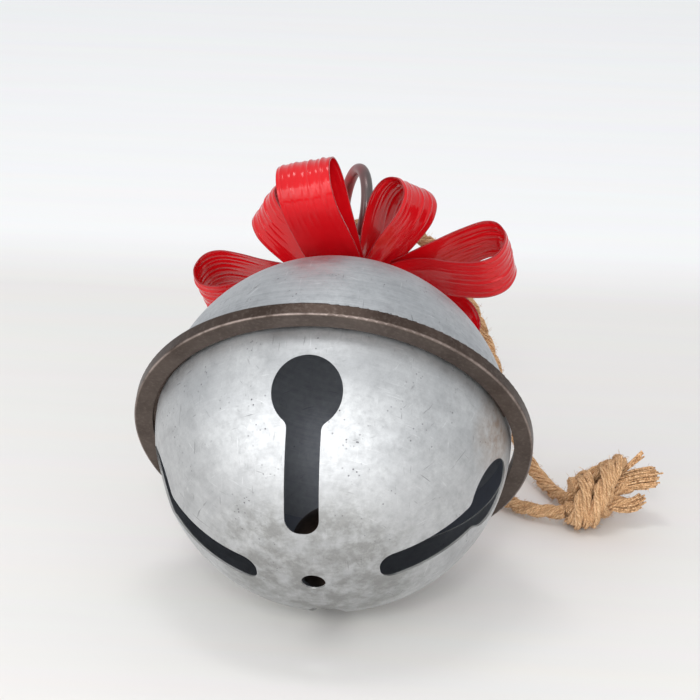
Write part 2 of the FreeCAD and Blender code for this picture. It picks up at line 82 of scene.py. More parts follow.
# %% Camera
camera = bpy.data.objects.new("camera", bpy.data.cameras.new("camera"))
scene.collection.objects.link(camera)
camera.data.lens = 145.03
camera.data.sensor_width = 36
camera.location = (0.1614, -1.2718, 0.679)
camera.rotation_euler = (math.radians(66.98), 0, math.radians(6.86))
camera.data.clip_start, camera.data.clip_end = 0.05, 20
scene.camera = camera
scene.view_settings.view_transform = "Standard"


# %% A helper for node trees
def add(tree, kind, inputs=None, **settings):
    """Make a node, set its options, and fill its inputs with values or with other nodes' outputs."""
    node = tree.nodes.new(kind)
    for name, value in settings.items():
        setattr(node, name, value)
    for key, value in (inputs or {}).items():
        socket = node.inputs[key]
        if isinstance(value, bpy.types.Node):
            value = next(output for output in value.outputs if output.enabled)
        if isinstance(value, bpy.types.NodeSocket):
            tree.links.new(value, socket)
        else:
            socket.default_value = value
    return node


def new_material(name, **constants):
    """A Principled material with plain numbers on its sockets; returns the material, its tree and the shader."""
    material = bpy.data.materials.new(name)
    material.use_nodes = True
    shader = material.node_tree.nodes["Principled BSDF"]
    for key, value in constants.items():
        shader.inputs[key.replace("_", " ")].default_value = value
    return material, material.node_tree, shader


# %% Floor
FLOOR_NEAR, FLOOR_FAR = (0.81, 0.790, 0.768, 1), (0.95, 0.945, 0.945, 1)
PALE_FROM, PALE_TO = 0.40, 0.50     # metres behind the bell's centre, where the floor turns paler
floor_mesh = bpy.data.meshes.new("floor")
floor_mesh.from_pydata([(-4, -4, 0), (4, -4, 0), (4, 4, 0), (-4, 4, 0)], [], [(0, 1, 2, 3)])
floor = bpy.data.objects.new("floor", floor_mesh)
scene.collection.objects.link(floor)
paper, tree, shader = new_material("floor", Roughness=0.55)
place = add(tree, "ShaderNodeTexCoord").outputs["Object"]
parts = add(tree, "ShaderNodeSeparateXYZ", {"Vector": place})
back = add(tree, "ShaderNodeMapRange", {"Value": parts.outputs["Y"], "From Min": PALE_FROM, "From Max": PALE_TO})
grain = add(tree, "ShaderNodeTexNoise", {"Scale": 9.0, "Detail": 6.0,
            "Vector": add(tree, "ShaderNodeMapping", {"Vector": place, "Scale": (0.4, 6.0, 6.0)})})
tone = add(tree, "ShaderNodeMixRGB", {"Fac": back.outputs["Result"], "Color1": FLOOR_NEAR, "Color2": FLOOR_FAR})
shade = add(tree, "ShaderNodeMixRGB", {"Fac": 0.06, "Color1": tone, "Color2": grain.outputs["Color"]},
            blend_type="MULTIPLY")
tree.links.new(shade.outputs[0], shader.inputs["Base Color"])
floor_mesh.materials.append(paper)
print("floor:", floor.name)


# %% Room light and lamps
world = bpy.data.worlds.new("room")
scene.world = world
world.use_nodes = True
room = world.node_tree.nodes["Background"].inputs
room["Color"].default_value = (0.96, 0.98, 1.0, 1)
room["Strength"].default_value = 0.78


def soft_lamp(name, place, aim, size, power):
    """A rectangular lamp: where it hangs, what it points at, its two sides in metres and its watts."""
    lamp = bpy.data.objects.new(name, bpy.data.lights.new(name, "AREA"))
    lamp.data.shape = "RECTANGLE"
    lamp.data.size, lamp.data.size_y = size
    lamp.data.energy = power
    lamp.location = place
    lamp.rotation_euler = (Vector(aim) - Vector(place)).to_track_quat("-Z", "Y").to_euler()
    scene.collection.objects.link(lamp)


soft_lamp("window", (0.20, -1.9, 0.58), (0, 0, 0.08), (3.2, 1.5), 28)
soft_lamp("pane", (0.10, -1.7, 1.35), (0, 0, 0.1), (0.20, 0.40), 5.5)
soft_lamp("reflector", (-1.3, -1.2, 0.7), (0, 0, 0.08), (1.3, 1.1), 9)
soft_lamp("top", (-0.15, 0.05, 1.8), (0, 0, 0.1), (0.30, 0.60), 4.5)

# %% [markdown]
# ## Rope
# Jute rope is three strands laid round each other, and each strand is a bundle of yarns twisted the other way.
# A smooth pipe looks false at its edge, so Geometry Nodes sweep three strands of round yarns along the
# rope's line and turn them as they go, and then scatter short loose fibres on them. The line itself is one
# smooth NURBS curve through the measured route.

# %% Jute
def jute_material():
    material, tree, shader = new_material("jute", Roughness=0.9, Sheen_Weight=0.06, Sheen_Roughness=0.6)
    shader.inputs["Specular IOR Level"].default_value = 0.25
    fibre = add(tree, "ShaderNodeAttribute", attribute_name="fibre")
    streaks = add(tree, "ShaderNodeTexNoise", {"Vector": fibre.outputs["Vector"], "Scale": 1.0, "Detail": 5.0,
                                               "Roughness": 0.65})
    place = add(tree, "ShaderNodeTexCoord").outputs["Object"]
    patches = add(tree, "ShaderNodeTexNoise", {"Vector": place, "Scale": 90.0, "Detail": 3.0})
    ramp = add(tree, "ShaderNodeValToRGB", {"Fac": streaks.outputs["Fac"]})
    ramp.color_ramp.elements[0].position = 0.38
    ramp.color_ramp.elements[0].color = (0.20, 0.09, 0.036, 1)
    ramp.color_ramp.elements[1].position = 0.62
    ramp.color_ramp.elements[1].color = (0.95, 0.68, 0.42, 1)
    middle = ramp.color_ramp.elements.new(0.5)
    middle.color = (0.64, 0.37, 0.175, 1)
    tone = add(tree, "ShaderNodeMixRGB", {"Fac": 0.15, "Color1": ramp.outputs["Color"],
                                          "Color2": (0.66, 0.39, 0.20, 1)})
    value = add(tree, "ShaderNodeMapRange", {"Value": patches.outputs["Fac"], "To Min": 0.8, "To Max": 1.2})
    tint = add(tree, "ShaderNodeHueSaturation", {"Color": tone.outputs[0], "Value": value.outputs["Result"]})
    tree.links.new(tint.outputs["Color"], shader.inputs["Base Color"])
    bump = add(tree, "ShaderNodeBump", {"Height": streaks.outputs["Fac"], "Strength": 0.7, "Distance": 0.0006})
    tree.links.new(bump.outputs["Normal"], shader.inputs["Normal"])
    return material


JUTE = jute_material()


# %% Helpers for geometry trees
def new_tree(name, **inputs):
    """An empty geometry tree with one geometry in, one out, and named number inputs."""
    tree = bpy.data.node_groups.new(name, "GeometryNodeTree")
    tree.is_modifier = True
    tree.interface.new_socket("Geometry", in_out="INPUT", socket_type="NodeSocketGeometry")
    tree.interface.new_socket("Geometry", in_out="OUTPUT", socket_type="NodeSocketGeometry")
    for key, value in inputs.items():
        kind = "NodeSocketInt" if isinstance(value, int) else "NodeSocketFloat"
        socket = tree.interface.new_socket(key.replace("_", " "), in_out="INPUT", socket_type=kind)
        socket.default_value = value
    return tree, tree.nodes.new("NodeGroupInput")


def calc(tree, operation, a, b=0.0):
    return add(tree, "ShaderNodeMath", {0: a, 1: b}, operation=operation).outputs[0]


# %% Loose fibres, the same for a rope and for a yarn
def finish_with_fuzz(tree, given, body, thickness):
    """Scatter loose bent fibres on a rope or yarn, then make it real and give it its material."""
    hair = add(tree, "GeometryNodeCurveQuadraticBezier", {"Resolution": 4, "Start": (0, 0, 0),
               "Middle": (0.35, 0.0, 0.35), "End": (1.0, 0.25, 0.45)})
    ring = add(tree, "GeometryNodeCurvePrimitiveCircle", {"Resolution": 3, "Radius": thickness})
    hair = add(tree, "GeometryNodeCurveToMesh", {"Curve": hair, "Profile Curve": ring.outputs["Curve"]})
    spots = add(tree, "GeometryNodeDistributePointsOnFaces", {"Mesh": body,
                "Density": given.outputs["Fuzz per square metre"], "Seed": given.outputs["Seed"]})
    spin = add(tree, "FunctionNodeRandomValue", {"Min": (-0.3, -0.3, 0.0), "Max": (0.3, 0.3, math.tau)},
               data_type="FLOAT_VECTOR")
    facing = add(tree, "FunctionNodeRotateEuler", {"Rotation": spots.outputs["Rotation"],
                 "Rotate By": spin.outputs[0]}, space="LOCAL")
    size = add(tree, "FunctionNodeRandomValue", {2: 0.35, 3: 1.0}, data_type="FLOAT")
    length = calc(tree, "MULTIPLY", size.outputs[1], given.outputs["Fuzz length"])
    hairs = add(tree, "GeometryNodeInstanceOnPoints", {"Points": spots.outputs["Points"], "Instance": hair,
                "Rotation": facing.outputs[0], "Scale": length})
    both = tree.nodes.new("GeometryNodeJoinGeometry")
    for part in (hairs, body):
        tree.links.new(part.outputs[0], both.inputs[0])
    real = add(tree, "GeometryNodeRealizeInstances", {"Geometry": both})
    smooth = add(tree, "GeometryNodeSetShadeSmooth", {"Geometry": real})
    painted = add(tree, "GeometryNodeSetMaterial", {"Geometry": smooth, "Material": JUTE})
    add(tree, "NodeGroupOutput", {"Geometry": painted})


# %% Three strands laid into a rope
STRANDS, YARNS = 3, 6           # strands in the rope, and yarns round the middle one of each
STRAND_FILL = 2.15              # three strands that touch fill a circle about this many strands across


def rope_tree():
    tree, given = new_tree("laid_rope", Diameter=0.008, Lay_length=0.036, Step=0.0014,
                           Fuzz_per_square_metre=150000.0, Fuzz_length=0.0030, Seed=3)
    line = add(tree, "GeometryNodeMeshToCurve", {"Mesh": given.outputs["Geometry"]})
    line = add(tree, "GeometryNodeResampleCurve", {"Curve": line, "Length": given.outputs["Step"]}, mode="LENGTH")
    along = add(tree, "GeometryNodeSplineParameter").outputs["Length"]
    turns = calc(tree, "DIVIDE", along, given.outputs["Lay length"])
    line = add(tree, "GeometryNodeSetCurveTilt", {"Curve": line, "Tilt": calc(tree, "MULTIPLY", turns, -math.tau)})
    line = add(tree, "GeometryNodeStoreNamedAttribute", {"Geometry": line, "Name": "along", "Value": along},
               data_type="FLOAT", domain="POINT")
    # Each strand is six yarns round a middle one.
    strand = calc(tree, "DIVIDE", given.outputs["Diameter"], 2 * STRAND_FILL)     # radius of a strand
    profile = tree.nodes.new("GeometryNodeJoinGeometry")
    for index in range(STRANDS):
        angle = index * math.tau / STRANDS
        middle = (1.08 * math.cos(angle), 1.08 * math.sin(angle))
        for yarn in range(YARNS + 1):
            core = yarn == YARNS
            turn = angle + yarn * math.tau / YARNS
            far = 0.0 if core else 0.66
            shift = add(tree, "ShaderNodeCombineXYZ", {
                "X": calc(tree, "MULTIPLY", strand, middle[0] + far * math.cos(turn)),
                "Y": calc(tree, "MULTIPLY", strand, middle[1] + far * math.sin(turn))})
            thick = 0.62 if core else 0.40 + 0.03 * (yarn % 3)
            ring = add(tree, "GeometryNodeCurvePrimitiveCircle", {"Resolution": 4 if core else 6,
                       "Radius": calc(tree, "MULTIPLY", strand, thick)})
            ring = add(tree, "GeometryNodeStoreNamedAttribute", {"Geometry": ring.outputs["Curve"],
                       "Name": "section", "Value": add(tree, "GeometryNodeInputPosition")},
                       data_type="FLOAT_VECTOR", domain="POINT")
            ring = add(tree, "GeometryNodeStoreNamedAttribute", {"Geometry": ring, "Name": "yarn",
                       "Value": 3.7 * ((YARNS + 1) * index + yarn)}, data_type="FLOAT", domain="POINT")
            one = add(tree, "GeometryNodeTransform", {"Geometry": ring, "Translation": shift})
            tree.links.new(one.outputs[0], profile.inputs[0])
    rope = add(tree, "GeometryNodeCurveToMesh", {"Curve": line, "Profile Curve": profile, "Fill Caps": True})
    # Each yarn has its own number, so it wanders on its own and takes its own shade.
    yarn = add(tree, "GeometryNodeInputNamedAttribute", {"Name": "yarn"}, data_type="FLOAT").outputs[0]
    run = add(tree, "GeometryNodeInputNamedAttribute", {"Name": "along"}, data_type="FLOAT").outputs[0]
    wander = add(tree, "ShaderNodeCombineXYZ", {"X": calc(tree, "MULTIPLY", run, 110.0), "Y": yarn,
                                                "Z": calc(tree, "MULTIPLY", yarn, 1.7)})
    drift = add(tree, "ShaderNodeTexNoise", {"Vector": wander, "Scale": 1.0, "Detail": 2.0}).outputs["Color"]
    drift = add(tree, "ShaderNodeVectorMath", {0: drift, 1: (0.5, 0.5, 0.5)}, operation="SUBTRACT").outputs[0]
    drift = add(tree, "ShaderNodeVectorMath", {0: drift, "Scale": calc(tree, "MULTIPLY", strand, 1.3)},
                operation="SCALE")
    rope = add(tree, "GeometryNodeSetPosition", {"Geometry": rope, "Offset": drift.outputs[0]})
    section = add(tree, "GeometryNodeInputNamedAttribute", {"Name": "section"}, data_type="FLOAT_VECTOR")
    twist = calc(tree, "MULTIPLY", run, 900.0)
    turned = add(tree, "ShaderNodeVectorRotate", {"Vector": section.outputs[0], "Angle": twist},
                 rotation_type="Z_AXIS")
    large = add(tree, "ShaderNodeVectorMath", {0: turned.outputs[0], 1: (2600.0, 2600.0, 2600.0)},
                operation="MULTIPLY")
    slow = add(tree, "ShaderNodeCombineXYZ", {"X": yarn, "Z": calc(tree, "MULTIPLY", run, 260.0)})
    fibre = add(tree, "ShaderNodeVectorMath", {0: large.outputs[0], 1: slow}, operation="ADD")
    rope = add(tree, "GeometryNodeStoreNamedAttribute", {"Geometry": rope, "Name": "fibre",
               "Value": fibre.outputs[0]}, data_type="FLOAT_VECTOR", domain="POINT")
    finish_with_fuzz(tree, given, rope, 0.028)
    return tree


ROPE = rope_tree()
print("rope maker:", len(ROPE.nodes), "nodes")


# %% Lines, and meshes made from them
FLOOR_SKIN = 0.0002             # the lowest that anything made here may lie, in metres
ROPE_LINE_LOW = 0.0052          # the lowest that a knot turn's centre line may run, in metres


def nurbs_line(points, resolution=16, closed=False):
    """Points along one smooth NURBS spline."""
    curve = bpy.data.curves.new("line", "CURVE")
    curve.dimensions = "3D"
    spline = curve.splines.new("NURBS")
    spline.points.add(len(points) - 1)
    for control, place in zip(spline.points, points):
        control.co = (*place, 1)
    spline.order_u = 3
    spline.use_endpoint_u = not closed
    spline.use_cyclic_u = closed
    spline.resolution_u = resolution
    holder = bpy.data.objects.new("line", curve)
    scene.collection.objects.link(holder)
    bpy.context.view_layer.update()
    mesh = bpy.data.meshes.new_from_object(holder.evaluated_get(bpy.context.evaluated_depsgraph_get()))
    bpy.data.objects.remove(holder)
    return mesh


def bake(name, mesh, tree, **inputs):
    """Run a geometry tree on a mesh and keep the plain result as a new object."""
    piece = bpy.data.objects.new(name, mesh)
    scene.collection.objects.link(piece)
    modifier = piece.modifiers.new("nodes", "NODES")
    modifier.node_group = tree
    for item in tree.interface.items_tree:
        key = item.name.replace(" ", "_")
        if item.in_out == "INPUT" and key in inputs:
            modifier[item.identifier] = inputs[key]
    bpy.context.view_layer.update()
    solid = bpy.data.meshes.new_from_object(piece.evaluated_get(bpy.context.evaluated_depsgraph_get()))
    piece.modifiers.clear()
    piece.data = solid
    for vertex in solid.vertices:
        vertex.co.z = max(vertex.co.z, FLOOR_SKIN)     # loose fibres lie on the floor, not in it
    solid.name = name
    print(f"{name}: {len(solid.polygons)} faces")
    return piece


def run_length(points):
    return sum((b - a).length for a, b in zip(points, points[1:]))


# %% Rope along its measured route
ROUTE = [Vector(p) for p in [
    (0.118, 0.101, 0.009), (0.110, 0.113, 0.0048), (0.099, 0.133, 0.0048), (0.086, 0.151, 0.014),
    (0.076, 0.159, 0.042), (0.066, 0.160, 0.071), (0.056, 0.158, 0.098), (0.041, 0.152, 0.130),
    (0.019, 0.140, 0.149), (-0.006, 0.128, 0.152), (-0.028, 0.132, 0.144), (-0.042, 0.145, 0.117),
    (-0.046, 0.163, 0.082), (-0.042, 0.176, 0.046), (-0.030, 0.184, 0.015), (-0.008, 0.182, 0.0048),
    (0.022, 0.164, 0.0048), (0.050, 0.134, 0.0048), (0.077, 0.109, 0.0048), (0.097, 0.093, 0.0048),
    (0.114, 0.090, 0.008)]]
rope_line = nurbs_line(ROUTE)
rope = bake("rope", rope_line, ROPE, Diameter=0.008)

# %% [markdown]
# ## Knot and frayed ends
# Both ends of the rope are tied together in one overhand knot. What shows is a few turns of rope over a full
# core, so the knot is made of separate turns that sink into each other, each with the same three strands.

# %% Knot
knot_low, knot_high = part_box("rope_knot")
KNOT = Matrix.Translation((knot_low + knot_high) / 2) @ Matrix((
    (0.9928, 0.1193, 0.0), (-0.0467, 0.388, 0.920), (0.110, -0.914, 0.391))).transposed().to_4x4()


def knot_turn(centre_at, reach, lean, swing):
    """One closed turn: an ellipse of the two reaches in mm, its top leaning to the right, swung about upright."""
    points = []
    for index in range(12):
        angle = index * math.tau / 12
        up, out = reach[0] * math.cos(angle), reach[1] * math.sin(angle)
        x = centre_at[0] + lean * up / reach[0] + swing * out / reach[1]
        place = KNOT @ (Vector((x, centre_at[1] + up, centre_at[2] + out)) * MM)
        place.z = max(place.z, ROPE_LINE_LOW)
        points.append(place)
    return points


TURNS = [
    ((-10.5, -4.5, 1.0), (13.0, 10.5), 3.0, 1.5),
    ((-1.0, -1.5, 1.5), (16.0, 11.5), 5.5, 1.5),
    ((7.0, 4.0, -0.5), (13.5, 10.5), 4.0, -3.0),
]
knot_parts = []
for index, turn_sizes in enumerate(TURNS):
    line = nurbs_line(knot_turn(*turn_sizes), 12, closed=True)
    knot_parts.append(bake(f"knot_turn_{index}", line, ROPE, Diameter=0.0094, Lay_length=0.040, Seed=11 + index))
CROSSINGS = [
    [(-17, -9, 2), (-8, -6, 3), (2, -4, 1), (11, -5, 1), (17, -6, 2)],
    [(-15, 4, 3), (-7, 7, -1), (0, 11, -2), (8, 14, -3), (12, 9, -4)],
    [(-16, 0, -3), (-6, 0, -2), (4, 1, 0), (12, 3, 1), (17, 5, 1)],
]
for index, points in enumerate(CROSSINGS):
    line = nurbs_line([KNOT @ (Vector(p) * MM) for p in points], 12)
    knot_parts.append(bake(f"knot_pass_{index}", line, ROPE, Diameter=0.009, Lay_length=0.040, Seed=21 + index))


def join(name, parts):
    """Merge several baked objects into the first one's place."""
    mesh = bmesh.new()
    slots = []
    for part in parts:
        for material in part.data.materials:
            if material not in slots:
                slots.append(material)
        mesh.from_mesh(part.data)
    data = bpy.data.meshes.new(name)
    mesh.to_mesh(data)
    mesh.free()
    for material in slots:
        data.materials.append(material)
    for part in parts:
        bpy.data.objects.remove(part)
    piece = bpy.data.objects.new(name, data)
    scene.collection.objects.link(piece)
    return piece


knot = join("knot", knot_parts)
print("knot:", len(knot.data.polygons), "faces")


# %% Frayed ends
def fray(name, guide, start, spread, count, seed):
    """A tuft: yarns that leave one round bundle and open into a fan, each its own length."""
    rng = random.Random(seed)
    mesh = bmesh.new()
    guide = [Vector(p) for p in guide]
    for _ in range(count):
        angle, radius = rng.uniform(0, math.tau), math.sqrt(rng.random())
        a, b = radius * math.cos(angle), radius * math.sin(angle)
        reach = rng.uniform(0.72, 1.0)
        bend = Vector((rng.uniform(-1, 1), rng.uniform(-1, 1), rng.uniform(-1, 1)))
        last = None
        for step in range(9):
            share = reach * step / 8
            at = share * (len(guide) - 1)
            first = min(int(at), len(guide) - 2)
            place = guide[first].lerp(guide[first + 1], at - first)
            open_up = start[0] + (spread[0] - start[0]) * share, start[1] + (spread[1] - start[1]) * share
            place = place + Vector((0.25 * a * open_up[0], b * open_up[1], a * open_up[0]))
            place = place + bend * 1.2 * share ** 2
            vertex = mesh.verts.new(KNOT @ (place * MM))
            if last:
                mesh.edges.new((last, vertex))
            last = vertex
    line = bpy.data.meshes.new(name)
    mesh.to_mesh(line)
    mesh.free()
    return bake(name, line, YARN, Seed=seed)


def yarn_tree():
    tree, given = new_tree("yarns", Thickness=0.0009, Fuzz_per_square_metre=160000.0, Fuzz_length=0.0022, Seed=5)
    line = add(tree, "GeometryNodeMeshToCurve", {"Mesh": given.outputs["Geometry"]})
    along = add(tree, "GeometryNodeSplineParameter").outputs["Length"]
    line = add(tree, "GeometryNodeStoreNamedAttribute", {"Geometry": line, "Name": "along", "Value": along},
               data_type="FLOAT", domain="POINT")
    section = add(tree, "GeometryNodeCurvePrimitiveCircle", {"Resolution": 6,
                  "Radius": calc(tree, "MULTIPLY", given.outputs["Thickness"], 0.5)})
    yarns = add(tree, "GeometryNodeCurveToMesh", {"Curve": line, "Profile Curve": section.outputs["Curve"],
                                                  "Fill Caps": True})
    place = add(tree, "GeometryNodeInputPosition")
    place = add(tree, "ShaderNodeVectorMath", {0: place, 1: (900.0, 900.0, 900.0)}, operation="MULTIPLY")
    yarns = add(tree, "GeometryNodeStoreNamedAttribute", {"Geometry": yarns, "Name": "fibre",
                "Value": place.outputs[0]}, data_type="FLOAT_VECTOR", domain="POINT")
    finish_with_fuzz(tree, given, yarns, 0.03)
    return tree


YARN = yarn_tree()
end_upper = fray("frayed_end_upper", [(8, 4, -1), (14, 6, -1), (20, 7.5, 0), (26, 8, 0), (31, 8.5, 0)],
                 (5.0, 5.0), (9.0, 6.0), 120, 4)
end_lower = fray("frayed_end_lower", [(7, -6, 2), (12, -7, 2), (17, -6.5, 2), (21, -5, 1), (24, -3, 1)],
                 (3.0, 3.0), (4.0, 4.0), 60, 9)
wisp = fray("frayed_wisp", [(9, 8, -3), (15, 13, -3), (20, 17, -4), (25, 21, -4)], (1.2, 1.2), (1.5, 1.5), 10, 2)
end_upper = join("frayed_end_upper", [end_upper, wisp])

# %% Rope pieces ride on the bell
for piece, node in ((rope, "rope_loop"), (knot, "rope_knot"), (end_upper, "rope_end_upper"),
                    (end_lower, "rope_end_lower")):
    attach(piece, "bell")
    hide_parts(node)

# %% [markdown]
# ## Bow
# The bow is steel ribbon, crimped lengthwise like curled gift ribbon and dipped in red enamel. Each loop leaves
# the clamp as a narrow, deeply pleated root, opens to its full width and turns over. A loop is a closed curve in
# its own plane, swept with a cross-section whose pleats flatten as the ribbon opens.

# %% Red enamel
def enamel_material():
    material, tree, shader = new_material("red_enamel", Roughness=0.25, Coat_Weight=0.5, Coat_Roughness=0.05)
    shader.inputs["Specular IOR Level"].default_value = 0.16
    place = add(tree, "ShaderNodeTexCoord").outputs["Object"]
    clouds = add(tree, "ShaderNodeTexNoise", {"Vector": place, "Scale": 60.0, "Detail": 4.0})
    edge = add(tree, "ShaderNodeAttribute", attribute_name="rim")
    colour = add(tree, "ShaderNodeMixRGB", {"Fac": clouds.outputs["Fac"], "Color1": (0.46, 0.001, 0.004, 1),
                                            "Color2": (0.66, 0.006, 0.011, 1)})
    rim = add(tree, "ShaderNodeMixRGB", {"Fac": edge.outputs["Fac"], "Color1": colour.outputs[0],
                                         "Color2": (0.30, 0.005, 0.009, 1)})
    tree.links.new(rim.outputs[0], shader.inputs["Base Color"])
    drips = add(tree, "ShaderNodeTexNoise", {"Vector": place, "Scale": 420.0, "Detail": 3.0})
    rough = add(tree, "ShaderNodeMapRange", {"Value": drips.outputs["Fac"], "To Min": 0.17, "To Max": 0.30})
    tree.links.new(rough.outputs["Result"], shader.inputs["Roughness"])
    bump = add(tree, "ShaderNodeBump", {"Height": drips.outputs["Fac"], "Strength": 0.12, "Distance": 0.0006})
    tree.links.new(bump.outputs["Normal"], shader.inputs["Normal"])
    return material


ENAMEL = enamel_material()

# %% Ribbon loops
RIBBON_WIDTH, RIBBON_SHEET = 28.0, 0.7      # millimetres
STRIP_SHEET = 0.8                           # thickness of a strip's clamped middle, in millimetres
STUD_HOLE = 3.3                             # radius of the hole for the stud, in millimetres
# Outlines in shares of a loop's length and of its bulge, from the lower root round to the upper root.
ROUND = [(0, 0), (0.22, -0.30), (0.45, -0.66), (0.66, -0.95), (0.81, -1.0), (0.943, -0.707), (1.0, 0.0),
         (0.943, 0.707), (0.81, 1.0), (0.64, 0.90), (0.45, 0.52), (0.22, 0.20), (0, 0)]
NECKED = [(0, -0.80), (0.09, -0.24), (0.22, -0.14), (0.4, -0.36), (0.6, -0.80), (0.8, -1.0), (0.94, -0.72),
          (1.0, 0.05), (0.95, 0.78), (0.84, 1.0), (0.66, 0.74), (0.44, 0.30), (0.22, 0.06), (0.09, -0.08),
          (0, -0.74)]


def smooth_path(points, count):
    """Evenly spaced points on a Catmull-Rom curve through the given ones."""
    dense = []
    padded = [2 * points[0] - points[1], *points, 2 * points[-1] - points[-2]]
    for a, b, c, d in zip(padded, padded[1:], padded[2:], padded[3:]):
        for step in range(24):
            t = step / 24
            dense.append(0.5 * (2 * b + (c - a) * t + (2 * a - 5 * b + 4 * c - d) * t ** 2
                                + (3 * b - a - 3 * c + d) * t ** 3))
    dense.append(points[-1])
    total = run_length(dense)
    out, travelled, index = [], 0.0, 0
    for step in range(count):
        goal = total * step / (count - 1)
        while index < len(dense) - 2 and travelled + (dense[index + 1] - dense[index]).length < goal:
            travelled += (dense[index + 1] - dense[index]).length
            index += 1
        leg = (dense[index + 1] - dense[index]).length
        out.append(dense[index].lerp(dense[index + 1], min(1.0, (goal - travelled) / max(leg, 1e-9))))
    return out, total


# Crimped ridges across the ribbon: place in shares of half its width, height in mm, and breadth.
RIDGES = [(-0.84, 0.8, 0.050), (-0.55, 0.45, 0.040), (-0.36, 1.0, 0.060), (-0.05, 0.6, 0.045), (0.20, 0.9, 0.055),
          (0.47, 0.35, 0.040), (0.66, 1.0, 0.060), (0.90, 0.5, 0.040)]


def ease(share):
    share = max(0.0, min(1.0, share))
    return share * share * (3 - 2 * share)


def ribbon_lift(run, total, v, opened, seed):
    """How far the sheet stands out of the plain strip: ridges round the tip, deep folds at the roots."""
    tip = ease(1.3 - 2.3 * abs(2 * run / total - 1))
    drift = 0.06 * noise.noise(Vector((run * 0.03, seed * 7.1, 0)))
    lift = 0.0
    for number, (place, height, breadth) in enumerate(RIDGES):
        own = 0.55 + 0.9 * noise.noise(Vector((run * 0.045, number * 3.3, seed * 9.7)))
        side = (v - place - drift) / breadth
        lift += max(0.0, own) * height * (0.07 + 0.93 * tip) * math.exp(-side * side)
    fold = math.cos(math.pi * (1.7 * v + 0.6 * math.sin(seed * 2.4)) + 0.015 * run)
    lift += 1.3 * (1 - opened) * fold
    return lift + 0.9 * noise.noise(Vector((run * 0.035, v * 0.9, seed * 5.3)))


def ribbon(mesh, base, outline, length, bulge, root, fan, seed, rows=150, columns=76):
    """Sweep the crimped cross-section along a loop's outline and give it a thickness."""
    path, total = smooth_path([Vector((x * length, 0, z * bulge)) for x, z in outline], rows)
    rim = mesh.verts.layers.float.get("rim") or mesh.verts.layers.float.new("rim")
    sheets = ([], [])
    for row in range(rows):
        ahead = path[min(row + 1, rows - 1)] - path[max(row - 1, 0)]
        outward = Vector((0, 1, 0)).cross(ahead).normalized()
        run = total * row / (rows - 1)
        opened = ease(min(run, total - run) / fan)
        half = (root + (RIBBON_WIDTH - root) * opened) / 2
        for column in range(columns):
            v = 2 * column / (columns - 1) - 1
            lift = ribbon_lift(run, total, v, opened, seed)
            edge = max(0.0, abs(v) - 0.975) / 0.025
            for sheet, offset in zip(sheets, (0.5, -0.5)):
                place = path[row] + Vector((0, v * half, 0)) + outward * (lift + offset * RIBBON_SHEET)
                vertex = mesh.verts.new(base @ (place * MM))
                vertex[rim] = edge
                sheet.append(vertex)

    def at(sheet, row, column):
        return sheets[sheet][row * columns + column]

    for row in range(rows - 1):
        for column in range(columns - 1):
            for sheet, order in ((0, 1), (1, -1)):
                corners = [at(sheet, row, column), at(sheet, row + 1, column), at(sheet, row + 1, column + 1),
                           at(sheet, row, column + 1)]
                mesh.faces.new(corners[::order])
        for column, order in ((0, -1), (columns - 1, 1)):
            corners = [at(0, row, column), at(0, row + 1, column), at(1, row + 1, column), at(1, row, column)]
            mesh.faces.new(corners[::order])
    for row, order in ((0, 1), (rows - 1, -1)):
        for column in range(columns - 1):
            corners = [at(0, row, column), at(0, row, column + 1), at(1, row, column + 1), at(1, row, column)]
            mesh.faces.new(corners[::order])


def loop_base(start, height, azimuth, rise, roll):
    """Where a loop leaves the clamp: its X runs out along the loop, its Y across the ribbon."""
    return (BELL @ Matrix.Rotation(math.radians(azimuth), 4, "Z")
            @ Matrix.Translation((start * MM, 0, height * MM))
            @ Matrix.Rotation(math.radians(-rise), 4, "Y") @ Matrix.Rotation(math.radians(roll), 4, "X"))


def disc(mesh, low, high, inner, outer, columns=64):
    """The round middle of a strip, clamped on the stud, with its hole."""
    rings = []
    for radius, height in ((inner, low), (outer, low), (outer, high), (inner, high)):
        rings.append([mesh.verts.new(BELL @ (Vector((radius * math.cos(a * math.tau / columns),
                      radius * math.sin(a * math.tau / columns), height)) * MM)) for a in range(columns)])
    for one, two in zip(rings, rings[1:] + rings[:1]):
        for a in range(columns):
            b = (a + 1) % columns
            mesh.faces.new((one[b], one[a], two[a], two[b]))


